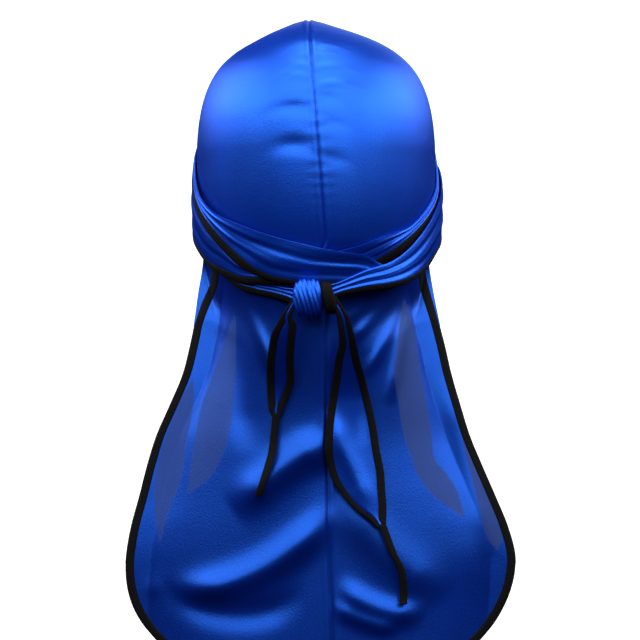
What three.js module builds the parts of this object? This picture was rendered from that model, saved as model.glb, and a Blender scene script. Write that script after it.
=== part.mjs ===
import * as THREE from "three";
import { mergeVertices } from "three/addons/utils/BufferGeometryUtils.js";

// A satin durag as it is worn: a two-panel crown, two long ties wound round the head and knotted at
// the back, and a long cape hanging from the nape. Millimetres, +Z up, +X to the wearer's right,
// +Y towards the face. The origin is on the inside of the crown's top, where the head bears.

// Crown, over an adult head of about 570 mm round.
const crown = {
  halfBreadth: 77.4,
  backReach: 99.5,
  frontReach: 95,
  headDrop: 180,
  apexShift: -4.5,
  seamLean: 13,
  seatDrop: 1.7,
  puckerDepth: 0.9,
  puckerWidth: 24,
  puckerPitch: 22,
};

// Cloth, its sewn edge tape and the clearance between pieces that touch.
const cloth = 1.2;
const tape = { tieWidth: 4.8, capeWidth: 6, tailWidth: 4.8, thickness: 1.6, sink: 0.25 };
const gap = 0.35;
const tapeGap = 0.55;

// Cape, measured from the sewn line at the nape.
const cape = {
  length: 252,
  halfWidth: 122,
  hemReach: 96,
  cornerWidth: 70,
  cornerHeight: 66,
  flapWidth: 16,
  flapTurn: 0.85,
  overTop: 0.075,
  leaveFall: 0.07,
  leaveSpan: 0.14,
};

// Knot and the ties' free ends.
const knot = { width: 19, height: 23, depth: 13, turn: -4, drop: 180, tapeWidth: 7.5, tailShare: 0.16 };
const tails = { leftLength: 118, rightLength: 184, leftWidth: 17, rightWidth: 37, standOff: 4 };

// Shape of the head under the crown, from its top down. drop is a share of the head's drop, half of
// its half breadth, back and front of its reaches, and pinch is 2 on an oval and less on a ridge.
const headRows = [
  { drop: 0, half: 0, back: 0, front: 0, pinch: 1.15 },
  { drop: 0.0056, half: 0.103, back: 0.21, front: 0.2, pinch: 1.15 },
  { drop: 0.0144, half: 0.165, back: 0.325, front: 0.31, pinch: 1.18 },
  { drop: 0.0289, half: 0.25, back: 0.44, front: 0.42, pinch: 1.22 },
  { drop: 0.0578, half: 0.426, back: 0.585, front: 0.56, pinch: 1.3 },
  { drop: 0.0867, half: 0.5652, back: 0.686, front: 0.6565, pinch: 1.4 },
  { drop: 0.1156, half: 0.676, back: 0.76, front: 0.73, pinch: 1.5 },
  { drop: 0.158, half: 0.7876, back: 0.8249, front: 0.8056, pinch: 1.638 },
  { drop: 0.2, half: 0.8596, back: 0.8632, front: 0.8576, pinch: 1.754 },
  { drop: 0.2456, half: 0.912, back: 0.895, front: 0.9, pinch: 1.85 },
  { drop: 0.3, half: 0.9528, back: 0.9298, front: 0.9392, pinch: 1.924 },
  { drop: 0.355, half: 0.9783, back: 0.9559, front: 0.9687, pinch: 1.968 },
  { drop: 0.41, half: 0.993, back: 0.9741, front: 0.9888, pinch: 1.99 },
  { drop: 0.4622, half: 1, back: 0.9861, front: 1, pinch: 2 },
  { drop: 0.512, half: 1, back: 0.9938, front: 1, pinch: 2 },
  { drop: 0.562, half: 1, back: 0.9984, front: 1, pinch: 2 },
  { drop: 0.6111, half: 1, back: 1.0002, front: 1, pinch: 2 },
  { drop: 0.66, half: 0.997, back: 0.9991, front: 0.9941, pinch: 2 },
  { drop: 0.705, half: 0.9924, back: 0.9948, front: 0.9874, pinch: 2 },
  { drop: 0.75, half: 0.985, back: 0.9866, front: 0.98, pinch: 2 },
  { drop: 0.805, half: 0.9711, back: 0.9704, front: 0.9704, pinch: 2 },
  { drop: 0.8611, half: 0.95, back: 0.947, front: 0.96, pinch: 2 },
  { drop: 0.93, half: 0.9151, back: 0.9155, front: 0.9462, pinch: 2 },
  { drop: 1, half: 0.88, back: 0.885, front: 0.93, pinch: 2 },
  { drop: 1.12, half: 0.84, back: 0.845, front: 0.9, pinch: 2 },
  { drop: 1.25, half: 0.815, back: 0.825, front: 0.88, pinch: 2 },
  { drop: 1.4, half: 0.805, back: 0.815, front: 0.87, pinch: 2 },
].map((row) => ({ ...row, run: Math.sqrt(row.drop) }));

// Lower edge of the crown, by turn from the back of the head in degrees, as a share of its drop.
const rimRows = [
  { turn: 0, rim: 0.884 },
  { turn: 30, rim: 0.857 },
  { turn: 60, rim: 0.784 },
  { turn: 75, rim: 0.707 },
  { turn: 90, rim: 0.629 },
  { turn: 110, rim: 0.545 },
  { turn: 140, rim: 0.485 },
  { turn: 180, rim: 0.473 },
];

// Route of each tie: turn counts on from the back of the head as the tie winds, top and bottom are
// shares of the head's drop, layer says how many thicknesses lie under it, and tape is how much of
// its tape shows, the rest being turned under.
const leftTieRows = [
  { turn: -142, top: 0.35, bottom: 0.45, layer: 1, tape: 0.6 },
  { turn: -120, top: 0.373, bottom: 0.473, layer: 1, tape: 0.8 },
  { turn: -102, top: 0.429, bottom: 0.492, layer: 1, tape: 1 },
  { turn: -88, top: 0.495, bottom: 0.517, layer: 1, tape: 1 },
  { turn: -75, top: 0.584, bottom: 0.6, layer: 1.7, tape: 1 },
  { turn: -62, top: 0.656, bottom: 0.684, layer: 2.75, tape: 1 },
  { turn: -50, top: 0.706, bottom: 0.76, layer: 3.1, tape: 1.5 },
  { turn: -38, top: 0.74, bottom: 0.838, layer: 3.1, tape: 1.3 },
  { turn: -22, top: 0.784, bottom: 0.908, layer: 3, tape: 0.8 },
  { turn: -6, top: 0.818, bottom: 0.93, layer: 3, tape: 0.6 },
  { turn: 8, top: 0.834, bottom: 0.932, layer: 3, tape: 0.6 },
  { turn: 22, top: 0.845, bottom: 0.934, layer: 3, tape: 0.6 },
  { turn: 34, top: 0.879, bottom: 0.945, layer: 2.7, tape: 0.6 },
  { turn: 50, top: 0.818, bottom: 0.912, layer: 2, tape: 0.6 },
  { turn: 70, top: 0.729, bottom: 0.84, layer: 2, tape: 0.7 },
  { turn: 90, top: 0.629, bottom: 0.784, layer: 2, tape: 0.8 },
  { turn: 115, top: 0.518, bottom: 0.673, layer: 2, tape: 0.8 },
  { turn: 140, top: 0.429, bottom: 0.551, layer: 2, tape: 0.8 },
  { turn: 160, top: 0.362, bottom: 0.473, layer: 1.6, tape: 0.8 },
  { turn: 180, top: 0.329, bottom: 0.429, layer: 1.1, tape: 0.8 },
  { turn: 200, top: 0.362, bottom: 0.473, layer: 1.6, tape: 0.8 },
  { turn: 220, top: 0.44, bottom: 0.562, layer: 2.1, tape: 0.8 },
  { turn: 240, top: 0.545, bottom: 0.67, layer: 1.3, tape: 0.8 },
  { turn: 260, top: 0.62, bottom: 0.75, layer: 1, tape: 0.8 },
  { turn: 275, top: 0.673, bottom: 0.79, layer: 1, tape: 0.8 },
  { turn: 290, top: 0.74, bottom: 0.829, layer: 1, tape: 0.8 },
  { turn: 305, top: 0.818, bottom: 0.882, layer: 1, tape: 0.8 },
  { turn: 318, top: 0.912, bottom: 0.94, layer: 1, tape: 0.8 },
  { turn: 330, top: 0.942, bottom: 0.962, layer: 1, tape: 0.8 },
  { turn: 339, top: 0.953, bottom: 0.975, layer: 1, tape: 0.8 },
  { turn: 346, top: 0.96, bottom: 0.985, layer: 2.4, tape: 0.8 },
  { turn: 353, top: 0.96, bottom: 1.005, layer: 4, tape: 0.8 },
];
const rightTieRows = [
  { turn: -142, top: 0.35, bottom: 0.45, layer: 1, tape: 0.66 },
  { turn: -120, top: 0.373, bottom: 0.473, layer: 1, tape: 0.8 },
  { turn: -102, top: 0.435, bottom: 0.502, layer: 1, tape: 1 },
  { turn: -86, top: 0.567, bottom: 0.592, layer: 1, tape: 1.2 },
  { turn: -67, top: 0.667, bottom: 0.688, layer: 1, tape: 1.3 },
  { turn: -50, top: 0.745, bottom: 0.77, layer: 1, tape: 1.3 },
  { turn: -41, top: 0.768, bottom: 0.81, layer: 1, tape: 1.1 },
  { turn: -30, top: 0.79, bottom: 0.856, layer: 1, tape: 1 },
  { turn: -17, top: 0.818, bottom: 0.908, layer: 1.5, tape: 0.8 },
  { turn: -6, top: 0.838, bottom: 0.932, layer: 2, tape: 0.6 },
  { turn: 8, top: 0.862, bottom: 0.932, layer: 2, tape: 0.5 },
  { turn: 25, top: 0.868, bottom: 0.924, layer: 2, tape: 0.8 },
  { turn: 38, top: 0.851, bottom: 0.915, layer: 2, tape: 1 },
  { turn: 48, top: 0.79, bottom: 0.891, layer: 2, tape: 1 },
  { turn: 60, top: 0.728, bottom: 0.862, layer: 2, tape: 0.9 },
  { turn: 75, top: 0.634, bottom: 0.8, layer: 2, tape: 0.8 },
  { turn: 90, top: 0.553, bottom: 0.748, layer: 2, tape: 0.7 },
  { turn: 105, top: 0.49, bottom: 0.662, layer: 2.3, tape: 0.7 },
  { turn: 125, top: 0.407, bottom: 0.584, layer: 3, tape: 0.7 },
  { turn: 145, top: 0.351, bottom: 0.507, layer: 3.15, tape: 0.7 },
  { turn: 165, top: 0.318, bottom: 0.451, layer: 2.8, tape: 0.7 },
  { turn: 180, top: 0.307, bottom: 0.429, layer: 2.3, tape: 0.7 },
  { turn: 195, top: 0.318, bottom: 0.451, layer: 2.8, tape: 0.7 },
  { turn: 215, top: 0.373, bottom: 0.515, layer: 3, tape: 0.7 },
  { turn: 240, top: 0.473, bottom: 0.61, layer: 3, tape: 0.7 },
  { turn: 258, top: 0.555, bottom: 0.71, layer: 3, tape: 0.7 },
  { turn: 272, top: 0.62, bottom: 0.768, layer: 3, tape: 0.7 },
  { turn: 288, top: 0.68, bottom: 0.812, layer: 3, tape: 0.7 },
  { turn: 300, top: 0.742, bottom: 0.862, layer: 3, tape: 0.75 },
  { turn: 314, top: 0.818, bottom: 0.904, layer: 3.4, tape: 0.75 },
  { turn: 326, top: 0.868, bottom: 0.928, layer: 3.9, tape: 0.75 },
  { turn: 338, top: 0.898, bottom: 0.944, layer: 4, tape: 0.7 },
  { turn: 350, top: 0.938, bottom: 0.968, layer: 4.1, tape: 0.6 },
  { turn: 356, top: 0.948, bottom: 0.995, layer: 4.15, tape: 0.6 },
];

// The cape from the nape down. fall is a share of its length, half of its half width, reach of how
// far back the hem hangs, bow says how far round the sides come, middle is how far it hangs to the
// right, and seam where the middle seam runs, both as shares of the half width.
const capeRows = [
  { fall: -0.08, half: 0.578, reach: 0.909, bow: 1.12, middle: 0, seam: 0.02 },
  { fall: 0.02, half: 0.596, reach: 0.906, bow: 1.12, middle: 0, seam: 0.045 },
  { fall: 0.086, half: 0.618, reach: 0.9, bow: 1.12, middle: 0, seam: 0.047 },
  { fall: 0.136, half: 0.636, reach: 0.9, bow: 1.1, middle: 0.004, seam: 0.048 },
  { fall: 0.199, half: 0.664, reach: 0.883, bow: 1.06, middle: 0.008, seam: 0.05 },
  { fall: 0.274, half: 0.7, reach: 0.865, bow: 1.01, middle: 0.006, seam: 0.053 },
  { fall: 0.349, half: 0.754, reach: 0.854, bow: 0.965, middle: -0.004, seam: 0.056 },
  { fall: 0.424, half: 0.811, reach: 0.857, bow: 0.93, middle: -0.014, seam: 0.058 },
  { fall: 0.499, half: 0.866, reach: 0.871, bow: 0.9, middle: -0.006, seam: 0.06 },
  { fall: 0.574, half: 0.918, reach: 0.891, bow: 0.87, middle: 0.008, seam: 0.062 },
  { fall: 0.65, half: 0.97, reach: 0.909, bow: 0.84, middle: 0.019, seam: 0.065 },
  { fall: 0.725, half: 1, reach: 0.927, bow: 0.82, middle: 0.025, seam: 0.07 },
  { fall: 0.86, half: 1, reach: 0.964, bow: 0.81, middle: 0.012, seam: 0.08 },
  { fall: 1, half: 1, reach: 1, bow: 0.8, middle: 0.014, seam: 0.085 },
];

// Folds of the cape, each a ridge (or a hollow, where height is below 0) along a bowed line. across
// is a share of the half width, fall a share of the length, and sag is the bow's depth.
const foldRows = [
  { fromAcross: -0.385, fromFall: 0.05, toAcross: -0.202, toFall: 0.279, sag: 0, width: 4, height: 2.4 },
  { fromAcross: -0.436, fromFall: 0.131, toAcross: -0.345, toFall: 0.444, sag: 0, width: 10, height: -2.6 },
  { fromAcross: 0.474, fromFall: 0.052, toAcross: 0.265, toFall: 0.264, sag: 0.012, width: 3.5, height: 2.4 },
  { fromAcross: 0.418, fromFall: 0.048, toAcross: 0.184, toFall: 0.185, sag: 0.005, width: 3.5, height: 2.2 },
  { fromAcross: 0.357, fromFall: 0.048, toAcross: 0.143, toFall: 0.141, sag: 0, width: 3, height: 1.5 },
  { fromAcross: 0.484, fromFall: 0.087, toAcross: 0.377, toFall: 0.333, sag: 0, width: 4, height: 2 },
  { fromAcross: -0.558, fromFall: 0.048, toAcross: -0.832, toFall: 0.805, sag: 0.14, width: 5, height: 3 },
  { fromAcross: 0.682, fromFall: 0.291, toAcross: 0.88, toFall: 0.704, sag: 0.01, width: 7, height: 3 },
  { fromAcross: 0.072, fromFall: 0.426, toAcross: -0.395, toFall: 0.589, sag: -0.012, width: 10, height: 5.5 },
  { fromAcross: 0.062, fromFall: 0.613, toAcross: -0.7, toFall: 0.805, sag: 0.045, width: 9, height: 6 },
  { fromAcross: -0.741, fromFall: 0.805, toAcross: -0.08, toFall: 0.815, sag: 0.045, width: 9, height: -2.2 },
  { fromAcross: 0.062, fromFall: 0.367, toAcross: 0.286, toFall: 0.599, sag: 0, width: 6, height: 2.8 },
  { fromAcross: 0.123, fromFall: 0.786, toAcross: 0.53, toFall: 0.855, sag: 0.02, width: 7, height: 3.2 },
  { fromAcross: 0.092, fromFall: 0.83, toAcross: 0.408, toFall: 0.889, sag: 0.01, width: 5, height: 2.2 },
  { fromAcross: 0.148, fromFall: 0.579, toAcross: 0.631, toFall: 0.8, sag: 0.02, width: 12, height: 3 },
  { fromAcross: 0.072, fromFall: 0.161, toAcross: 0.011, toFall: 0.505, sag: 0, width: 4, height: 1.4 },
  { fromAcross: 0.184, fromFall: 0.136, toAcross: 0.235, toFall: 0.431, sag: 0, width: 5, height: -1.6 },
];

// Free ends of the ties. fall is a share of the tail's length, left and right are its two edges as
// shares of its width from the knot's middle, and lift is how far it stands off the cape.
const leftTailRows = [
  { fall: 0.0, left: -0.79, right: -0.59, lift: 1.0 },
  { fall: 0.06, left: -0.97, right: -0.59, lift: 0.9 },
  { fall: 0.1, left: -1.1, right: -0.42, lift: 0.8 },
  { fall: 0.16, left: -1.32, right: -0.44, lift: 0.6 },
  { fall: 0.285, left: -1.465, right: -0.51, lift: 0.5 },
  { fall: 0.414, left: -1.5, right: -0.52, lift: 0.5 },
  { fall: 0.548, left: -1.43, right: -0.894, lift: 0.5 },
  { fall: 0.585, left: -1.32, right: -0.98, lift: 0.5 },
];
const leftTipRows = [
  { fall: 0.59, middle: -1.15 },
  { fall: 0.76, middle: -1.3 },
  { fall: 0.82, middle: -1.4 },
  { fall: 1.0, middle: -1.79 },
];
const rightTailRows = [
  { fall: 0.0, left: 0.48, right: 0.6, lift: 1.0 },
  { fall: 0.05, left: 0.48, right: 0.69, lift: 0.8 },
  { fall: 0.128, left: 0.513, right: 0.795, lift: 0.6 },
  { fall: 0.185, left: 0.449, right: 0.859, lift: 0.5 },
  { fall: 0.268, left: 0.397, right: 0.976, lift: 0.5 },
  { fall: 0.402, left: 0.3, right: 1.132, lift: 0.5 },
  { fall: 0.496, left: 0.284, right: 1.205, lift: 0.5 },
  { fall: 0.56, left: 0.349, right: 1.265, lift: 0.5 },
  { fall: 0.61, left: 0.465, right: 1.281, lift: 0.5 },
  { fall: 0.677, left: 0.727, right: 1.305, lift: 0.5 },
  { fall: 0.724, left: 1.04, right: 1.3, lift: 0.5 },
  { fall: 0.745, left: 1.14, right: 1.295, lift: 0.5 },
];
const rightTipRows = [
  { fall: 0.748, middle: 1.235 },
  { fall: 0.827, middle: 1.404 },
  { fall: 0.882, middle: 1.535 },
  { fall: 0.936, middle: 1.584 },
  { fall: 1.0, middle: 1.584 },
];

const rad = THREE.MathUtils.degToRad;

// Reads a table at one value of its key column, through a smooth curve in every other column.
function readTable(rows, key, value) {
  const last = rows.length - 1;
  const at = Math.min(Math.max(value, rows[0][key]), rows[last][key]);
  let i = 0;
  while (i < last - 1 && at > rows[i + 1][key]) i += 1;
  const span = rows[i + 1][key] - rows[i][key];
  const t = (at - rows[i][key]) / span;
  const result = {};
  for (const column of Object.keys(rows[0])) {
    const slope = (j) => {
      const before = rows[Math.max(j - 1, 0)];
      const after = rows[Math.min(j + 1, last)];
      return ((after[column] - before[column]) / (after[key] - before[key])) * span;
    };
    const a = rows[i][column];
    const b = rows[i + 1][column];
    const t2 = t * t;
    const t3 = t2 * t;
    result[column] =
      (2 * t3 - 3 * t2 + 1) * a + (t3 - 2 * t2 + t) * slope(i) +
      (3 * t2 - 2 * t3) * b + (t3 - t2) * slope(i + 1);
  }
  return result;
}

const smooth = (low, high, value) => THREE.MathUtils.smoothstep(value, low, high);

// A point of the head form under the cloth, at a turn from the back and a drop from the top.
function headForm(turn, drop) {
  const row = readTable(headRows, "run", Math.sqrt(Math.max(drop, 0) / crown.headDrop));
  const sine = Math.sin(rad(turn));
  const cosine = Math.cos(rad(turn));
  const reach = cosine >= 0 ? row.back * crown.backReach : row.front * crown.frontReach;
  const along = Math.sign(cosine) * Math.sqrt(Math.max(0, 1 - Math.abs(sine) ** row.pinch));
  const share = drop / crown.headDrop;
  const apex = crown.apexShift * (1 - smooth(0, 0.09, share));
  const lean = crown.seamLean * (share - 0.37) * smooth(0, 0.09, share) * (1 - smooth(0.8, 0.88, share));
  const behind = Math.max(0, cosine) ** 6;
  const x = row.half * crown.halfBreadth * sine + apex + lean * behind;
  return new THREE.Vector3(x, -reach * along, cloth + crown.seatDrop - drop);
}

// The same point moved out of the head by lift, along the form's own normal.
function onHead(turn, drop, lift) {
  const step = 0.8;
  const upper = Math.max(drop - step, 0);
  const round = headForm(turn + step, drop).sub(headForm(turn - step, drop));
  const down = headForm(turn, drop + step).sub(headForm(turn, upper));
  const normal = new THREE.Vector3().crossVectors(down, round);
  if (drop < 0.01 || normal.length() < 1e-9) normal.set(0, 0, 1);
  return headForm(turn, drop).addScaledVector(normal.normalize(), lift);
}

// A closed sheet between an outer and an inner grid of points with the same rows and columns.
function sheetGeometry(outer, inner) {
  const rows = outer.length;
  const columns = outer[0].length;
  const positions = [...outer.flat(), ...inner.flat()].flatMap((point) => [point.x, point.y, point.z]);
  const front = (i, j) => i * columns + j;
  const rear = (i, j) => rows * columns + i * columns + j;
  const faces = [];
  const quad = (a, b, c, d) => faces.push(a, b, c, a, c, d);
  for (let i = 0; i + 1 < rows; i += 1) {
    for (let j = 0; j + 1 < columns; j += 1) {
      quad(front(i, j), front(i + 1, j), front(i + 1, j + 1), front(i, j + 1));
      quad(rear(i, j), rear(i, j + 1), rear(i + 1, j + 1), rear(i + 1, j));
    }
    quad(front(i, 0), rear(i, 0), rear(i + 1, 0), front(i + 1, 0));
    quad(front(i, columns - 1), front(i + 1, columns - 1), rear(i + 1, columns - 1), rear(i, columns - 1));
  }
  for (let j = 0; j + 1 < columns; j += 1) {
    quad(front(0, j), front(0, j + 1), rear(0, j + 1), rear(0, j));
    quad(front(rows - 1, j), rear(rows - 1, j), rear(rows - 1, j + 1), front(rows - 1, j + 1));
  }
  return closedGeometry(positions, faces);
}

// Merges equal corners, drops the faces that shrank to nothing and turns the faces outwards.
function closedGeometry(positions, faces) {
  const raw = new THREE.BufferGeometry();
  raw.setAttribute("position", new THREE.Float32BufferAttribute(positions, 3));
  raw.setIndex(faces);
  const merged = mergeVertices(raw, 1e-3);
  const index = merged.getIndex();
  const place = merged.getAttribute("position");
  const kept = [];
  let volume = 0;
  const corner = (k) => new THREE.Vector3().fromBufferAttribute(place, k);
  for (let k = 0; k < index.count; k += 3) {
    const [a, b, c] = [index.getX(k), index.getX(k + 1), index.getX(k + 2)];
    if (a === b || b === c || c === a) continue;
    kept.push([a, b, c]);
    volume += corner(a).dot(new THREE.Vector3().crossVectors(corner(b), corner(c)));
  }
  merged.setIndex(kept.flatMap(([a, b, c]) => (volume < 0 ? [a, c, b] : [a, b, c])));
  merged.computeVertexNormals();
  return merged;
}

const shades = {
  satin: { color: 0x123fb8, roughness: 0.35, metalness: 0 },
  tape: { color: 0x0b0b0d, roughness: 0.6, metalness: 0 },
};

const durag = new THREE.Group();

function addPiece(name, geometry, shade) {
  const mesh = new THREE.Mesh(geometry, new THREE.MeshStandardMaterial(shades[shade]));
  mesh.name = name;
  durag.add(mesh);
}

// Crown panels: the two halves meet on a ridge seam that puckers on both sides.
function pucker(across, drop) {
  const share = drop / crown.headDrop;
  const near = Math.exp(-((across / crown.puckerWidth) ** 2));
  const wave = Math.cos((2 * Math.PI * drop) / crown.puckerPitch);
  return crown.puckerDepth * near * wave * smooth(0.03, 0.1, share) * (1 - smooth(0.38, 0.55, share));
}

function crownPanel(side) {
  const turns = [0, 5, 11, 19, 30, 44, 59, 74, 90, 107, 124, 140, 154, 167, 180];
  const rowCount = 20;
  const outer = [];
  const inner = [];
  for (let i = 0; i <= rowCount; i += 1) {
    const outerRow = [];
    const innerRow = [];
    for (const turn of turns) {
      const rim = readTable(rimRows, "turn", turn).rim * crown.headDrop;
      const drop = rim * (i / rowCount) ** 1.6;
      const form = onHead(side * turn, drop, 0);
      const dent = turn < 90 ? pucker(crown.halfBreadth * Math.sin(rad(turn)), drop) : 0;
      const face = onHead(side * turn, drop, dent);
      const lining = onHead(side * turn, drop, dent - cloth);
      const seam = crownSeam(form, turn);
      for (const point of [face, lining]) {
        const clear = side * (point.x - seam);
        point.x = seam + side * Math.max(clear + gap / 2, gap / 2);
      }
      outerRow.push(face);
      innerRow.push(lining);
    }
    outer.push(outerRow);
    inner.push(innerRow);
  }
  return sheetGeometry(outer, inner);
}

// Where the seam crosses the level of a point, on the back or the front of the crown.
function crownSeam(point, turn) {
  const drop = cloth + crown.seatDrop - point.z;
  return headForm(turn <= 90 ? 0 : 180, drop).x;
}

addPiece("crown_left_panel", crownPanel(-1), "satin");
addPiece("crown_right_panel", crownPanel(1), "satin");

// Ties: flat ribbons wound round the head, each with tape sewn along its lower edge.
const pitch = cloth + gap + 0.1;

function windTie(rows, side, edges, thickness, across) {
  const first = rows[0].turn;
  const last = rows[rows.length - 1].turn;
  const steps = Math.round((last - first) / 6.6);
  const outer = [];
  const inner = [];
  for (let i = 0; i <= steps; i += 1) {
    const turn = first + ((last - first) * i) / steps;
    const row = readTable(rows, "turn", turn);
    const [upper, lower] = edges(row);
    const rise = (row.layer - 1) * pitch + gap;
    const outerRow = [];
    const innerRow = [];
    for (let j = 0; j <= across; j += 1) {
      const drop = upper + ((lower - upper) * j) / across;
      outerRow.push(onHead(side * turn, drop, rise + thickness));
      innerRow.push(onHead(side * turn, drop, rise));
    }
    outer.push(outerRow);
    inner.push(innerRow);
  }
  return sheetGeometry(outer, inner);
}

const tieEdges = (row) => [row.top * crown.headDrop, row.bottom * crown.headDrop];
const tieTapeEdges = (row) => {
  const upper = row.bottom * crown.headDrop + tapeGap;
  return [upper, upper + tape.tieWidth * row.tape];
};

addPiece("tie_left", windTie(leftTieRows, 1, tieEdges, cloth, 3), "satin");
addPiece("tie_right", windTie(rightTieRows, -1, tieEdges, cloth, 3), "satin");
addPiece("tie_left_tape", windTie(leftTieRows, 1, tieTapeEdges, cloth, 1), "tape");
addPiece("tie_right_tape", windTie(rightTieRows, -1, tieTapeEdges, cloth, 1), "tape");

// Cape: two panels that hang from the crown's lower edge, meet at a middle seam and are taped all
// round. Its outline runs down the side and round the corner to the hem.
const napeDrop = rimRows[0].rim * crown.headDrop;

function levelOf(fall) {
  return cloth + crown.seatDrop - napeDrop - fall * cape.length;
}

function fallOf(level) {
  return (cloth + crown.seatDrop - napeDrop - level) / cape.length;
}

// The hanging cape at a level: its half width, middle and seam, its reach and its plan's oval.
function capeSection(level) {
  const hang = readTable(capeRows, "fall", fallOf(level));
  const half = hang.half * cape.halfWidth;
  const middle = hang.middle * cape.halfWidth;
  const seam = hang.seam * cape.halfWidth;
  return { half, middle, seam, reach: hang.reach * cape.hemReach, round: half / hang.bow };
}

// How free of the head the cape is: it leaves the ties' lower edge higher up at the sides.
function freedom(x, level) {
  const outward = Math.abs(x) / (capeRows[0].half * cape.halfWidth);
  const start = cape.leaveFall * (1 - smooth(0.5, 1, outward));
  return smooth(start, start + cape.leaveSpan, fallOf(level));
}

function foldHeight(x, level) {
  let height = 0;
  for (const fold of foldRows) {
    const startX = fold.fromAcross * cape.halfWidth;
    const startZ = levelOf(fold.fromFall);
    const spanX = fold.toAcross * cape.halfWidth - startX;
    const spanZ = levelOf(fold.toFall) - startZ;
    const run = spanX * spanX + spanZ * spanZ;
    const t = ((x - startX) * spanX + (level - startZ) * spanZ) / run;
    const clamped = Math.min(Math.max(t, 0), 1);
    const bowed = fold.sag * cape.length * 4 * clamped * (1 - clamped);
    const offX = x - (startX + spanX * clamped);
    const offZ = level - (startZ + spanZ * clamped) + bowed;
    const off = (offX * offX + offZ * offZ) / (fold.width * fold.width);
    height += fold.height * Math.exp(-off) * smooth(-0.1, 0.25, t) * (1 - smooth(0.75, 1.1, t));
  }
  return height;
}

// The form is followed down to a share of the head's drop, and round to a share of its half breadth.
const formEnd = 1.38;
const sideLimit = 0.97;

// How far the cape's outer face stands behind the head's middle at a place across and a level.
function capeDepth(x, level) {
  const section = capeSection(level);
  const off = Math.abs(x - section.middle);
  const past = Math.max(0, off - (section.half - cape.flapWidth));
  const across = off - past * cape.flapTurn;
  const hung = section.reach * Math.sqrt(1 - (across / section.round) ** 2);
  const share = Math.min((cloth + crown.seatDrop - level) / crown.headDrop, formEnd);
  const head = readTable(headRows, "run", Math.sqrt(share));
  const inside = Math.min(Math.abs(x) / (head.half * crown.halfBreadth), sideLimit);
  const worn = head.back * crown.backReach * Math.sqrt(1 - inside ** 2);
  const free = freedom(x, level);
  return worn + (hung + foldHeight(x, level) - worn) * free;
}

function capeFace(x, level, lift) {
  const step = 1.5;
  const slopeX = (capeDepth(x + step, level) - capeDepth(x - step, level)) / (2 * step);
  const slopeZ = (capeDepth(x, level + step) - capeDepth(x, level - step)) / (2 * step);
  const normal = new THREE.Vector3(-slopeX, -1, -slopeZ).normalize();
  return new THREE.Vector3(x, -capeDepth(x, level), level).addScaledVector(normal, lift);
}

// Outline of one side from the neck to the middle of the hem: how far from the cape's middle, level
// and the direction out.
const topLevel = levelOf(-cape.overTop);
const cornerLevel = levelOf(1) + cape.cornerHeight;
const sideRowCount = 17;
const cornerRowCount = 7;

function capeOutline(row) {
  if (row <= sideRowCount) {
    const level = topLevel + (cornerLevel - topLevel) * (row / sideRowCount);
    return { x: capeSection(level).half, level, outX: 1, outZ: 0 };
  }
  const angle = rad(90 * Math.min((row - sideRowCount) / cornerRowCount, 1));
  const flat = cape.halfWidth - cape.cornerWidth;
  return {
    x: flat + cape.cornerWidth * Math.cos(angle),
    level: cornerLevel - cape.cornerHeight * Math.sin(angle),
    outX: Math.cos(angle),
    outZ: -Math.sin(angle),
  };
}

// The first rows bend with the crown's lower edge, which the cape is sewn to.
function rimFollow(x, row) {
  const turn = THREE.MathUtils.radToDeg(Math.asin(Math.min(Math.abs(x) / crown.halfBreadth, 1)));
  const rim = readTable(rimRows, "turn", turn).rim * crown.headDrop;
  return (cloth + crown.seatDrop - rim - gap - topLevel) * (1 - smooth(0, 5, row));
}

function capePanel(side) {
  const shares = [0, 0.1, 0.21, 0.32, 0.43, 0.54, 0.65, 0.76, 0.85, 0.93, 1];
  const outer = [];
  const inner = [];
  for (let row = 0; row <= sideRowCount + cornerRowCount; row += 1) {
    const edge = capeOutline(row);
    const inset = tape.capeWidth + tapeGap;
    const edgeX = edge.x - edge.outX * inset;
    const edgeLevel = edge.level - edge.outZ * inset;
    const outerRow = [];
    const innerRow = [];
    for (const share of shares) {
      const { middle, seam } = capeSection(edgeLevel);
      const seamSide = seam + (side * gap) / 2;
      const x = seamSide + (middle + side * edgeX - seamSide) * share;
      const level = edgeLevel + rimFollow(x, row);
      outerRow.push(capeFace(x, level, 0));
      innerRow.push(capeFace(x, level, -cloth));
    }
    outer.push(outerRow);
    inner.push(innerRow);
  }
  return sheetGeometry(outer, inner);
}

addPiece("cape_left_panel", capePanel(-1), "satin");
addPiece("cape_right_panel", capePanel(1), "satin");

// Tape round the cape, from under the ties down one side, along the hem and up the other side.
function capeTape() {
  const lastRow = sideRowCount + cornerRowCount;
  const hemSteps = 5;
  const path = [];
  for (let row = 1; row < lastRow; row += 1) {
    const place = capeOutline(row);
    const follow = rimFollow(place.x - tape.capeWidth - tapeGap, row);
    path.push({ ...place, level: place.level + follow });
  }
  const corner = capeOutline(lastRow);
  for (let k = 0; k < hemSteps; k += 1) path.push({ ...corner, x: corner.x * (1 - k / hemSteps) });
  const mirrored = path.slice().reverse().map((place) => ({ ...place, x: -place.x, outX: -place.outX }));
  const whole = [...path, { ...corner, x: 0, outX: 0 }, ...mirrored];
  const outer = [];
  const inner = [];
  for (const place of whole) {
    const outerRow = [];
    const innerRow = [];
    for (const inset of [0, tape.capeWidth]) {
      const level = place.level - place.outZ * inset;
      const x = capeSection(level).middle + place.x - place.outX * inset;
      outerRow.push(capeFace(x, level, -tape.sink));
      innerRow.push(capeFace(x, level, -tape.sink - tape.thickness));
    }
    outer.push(outerRow);
    inner.push(innerRow);
  }
  return sheetGeometry(outer, inner);
}

addPiece("cape_tape", capeTape(), "tape");

// Knot: the tie's last turn goes round over itself, so it is a short ribbed roll lying across.
const knotSeat = onHead(knot.turn, knot.drop, 0);
const knotBack = -(4 * pitch + gap) + knotSeat.y;

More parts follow.
